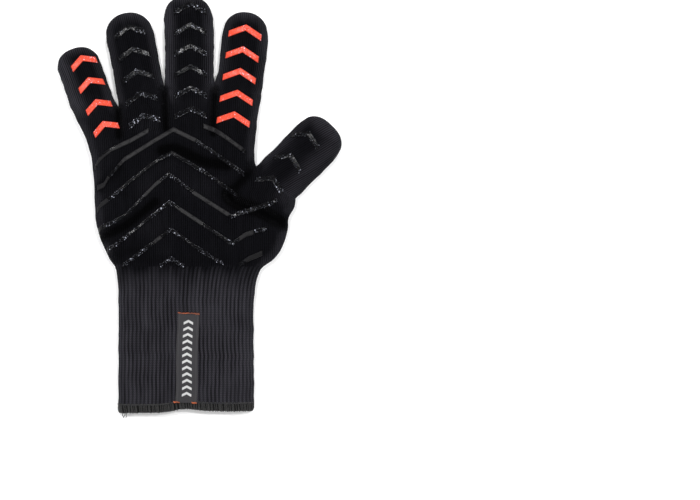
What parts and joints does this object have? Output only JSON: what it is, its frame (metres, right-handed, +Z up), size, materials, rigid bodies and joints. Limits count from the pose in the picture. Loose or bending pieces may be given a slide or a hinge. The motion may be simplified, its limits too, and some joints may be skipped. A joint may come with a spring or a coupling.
{
  "type": "heat resistant glove",
  "caption": "Knitted glove with a long ribbed cuff, a knitted liner and raised silicone grip bands on the palm side, for handling hot grates and cookware.",
  "frame": {"origin": "middle of the glove's footprint, on the surface that its back lies on", "axes": "+Z up out of the palm, +Y from the cuff's mouth to the fingertips, +X towards the thumb"},
  "size_m": [0.2251, 0.3327, 0.0254],
  "materials": {
    "shell": "black knit, matt and slightly hairy",
    "cuff": "charcoal two by two rib knit",
    "liner": "dark plain knit",
    "hem": "black overlock stitching",
    "black_print": "glossy black silicone with a lumpy surface",
    "orange_print": "satin orange-red silicone",
    "label": "dark grey woven tape",
    "thread": "orange polyester sewing thread"
  },
  "bodies": {
    "hand": {"hand_shell": "shell", "hand_liner": "liner", "palm_band_1_outer": "black_print", "palm_band_1_inner": "black_print", "palm_band_2": "black_print", "palm_band_3": "black_print", "palm_band_4": "black_print", "palm_band_5": "black_print", "palm_band_6": "black_print", "palm_band_6_inner": "black_print", "palm_band_7": "black_print", "little_chevron_1": "orange_print", "little_chevron_2": "orange_print", "ring_chevron_1": "black_print", "ring_chevron_2": "black_print", "middle_chevron_1": "black_print", "middle_chevron_2": "black_print", "index_chevron_1": "orange_print", "index_chevron_2": "orange_print", "thumb_chevron_1": "black_print"},
    "cuff": {"cuff_shell": "cuff", "cuff_liner": "liner", "hem_overlock": "hem", "woven_label": "label", "label_tack_upper": "thread", "label_tack_lower": "thread"},
    "little_proximal": {"little_proximal_shell": "shell", "little_proximal_liner": "liner", "little_chevron_3": "orange_print"},
    "little_distal": {"little_distal_shell": "shell", "little_distal_liner": "liner", "little_chevron_4": "orange_print"},
    "ring_proximal": {"ring_proximal_shell": "shell", "ring_proximal_liner": "liner", "ring_chevron_3": "black_print", "ring_chevron_4": "black_print"},
    "ring_distal": {"ring_distal_shell": "shell", "ring_distal_liner": "liner", "ring_chevron_5": "black_print"},
    "middle_proximal": {"middle_proximal_shell": "shell", "middle_proximal_liner": "liner", "middle_chevron_3": "black_print", "middle_chevron_4": "black_print"},
    "middle_distal": {"middle_distal_shell": "shell", "middle_distal_liner": "liner", "middle_chevron_5": "black_print", "middle_chevron_6": "black_print"},
    "index_proximal": {"index_proximal_shell": "shell", "index_proximal_liner": "liner", "index_chevron_3": "orange_print", "index_chevron_4": "orange_print"},
    "index_distal": {"index_distal_shell": "shell", "index_distal_liner": "liner", "index_chevron_5": "orange_print"},
    "thumb_proximal": {"thumb_proximal_shell": "shell", "thumb_proximal_liner": "liner", "thumb_chevron_2": "black_print"},
    "thumb_distal": {"thumb_distal_shell": "shell", "thumb_distal_liner": "liner", "thumb_chevron_3": "black_print"}
  },
  "joints": [
    {"name": "wrist_fold", "type": "hinge", "parent": "hand", "child": "cuff", "pos_m": [-0.01151, -0.04914, 0.024], "axis": [-1, 0, 0], "range_deg": [0, 80]},
    {"name": "little_root_fold", "type": "hinge", "parent": "hand", "child": "little_proximal", "pos_m": [-0.08931, 0.08796, 0.016], "axis": [1, 0, 0], "range_deg": [0, 90]},
    {"name": "little_knuckle_fold", "type": "hinge", "parent": "little_proximal", "child": "little_distal", "pos_m": [-0.09582, 0.10528, 0.016], "axis": [0.9361, 0.3518, 0], "range_deg": [0, 90]},
    {"name": "ring_root_fold", "type": "hinge", "parent": "hand", "child": "ring_proximal", "pos_m": [-0.04871, 0.09336, 0.017], "axis": [1, 0, 0], "range_deg": [0, 90]},
    {"name": "ring_knuckle_fold", "type": "hinge", "parent": "ring_proximal", "child": "ring_distal", "pos_m": [-0.05568, 0.12766, 0.017], "axis": [0.9799, 0.1994, 0], "range_deg": [0, 90]},
    {"name": "middle_root_fold", "type": "hinge", "parent": "hand", "child": "middle_proximal", "pos_m": [-0.00951, 0.09836, 0.017], "axis": [1, 0, 0], "range_deg": [0, 90]},
    {"name": "middle_knuckle_fold", "type": "hinge", "parent": "middle_proximal", "child": "middle_distal", "pos_m": [-0.01039, 0.13195, 0.017], "axis": [0.9997, 0.0262, 0], "range_deg": [0, 90]},
    {"name": "index_root_fold", "type": "hinge", "parent": "hand", "child": "index_proximal", "pos_m": [0.03069, 0.09536, 0.017], "axis": [1, 0, 0], "range_deg": [0, 90]},
    {"name": "index_knuckle_fold", "type": "hinge", "parent": "index_proximal", "child": "index_distal", "pos_m": [0.03417, 0.12958, 0.017], "axis": [0.9949, -0.1011, 0], "range_deg": [0, 90]},
    {"name": "thumb_root_fold", "type": "hinge", "parent": "hand", "child": "thumb_proximal", "pos_m": [0.06499, 0.02256, 0.018], "axis": [0.7193, -0.6947, 0], "range_deg": [0, 55]},
    {"name": "thumb_knuckle_fold", "type": "hinge", "parent": "thumb_proximal", "child": "thumb_distal", "pos_m": [0.08097, 0.0391, 0.018], "axis": [0.7193, -0.6947, 0], "range_deg": [0, 80]}
  ]
}
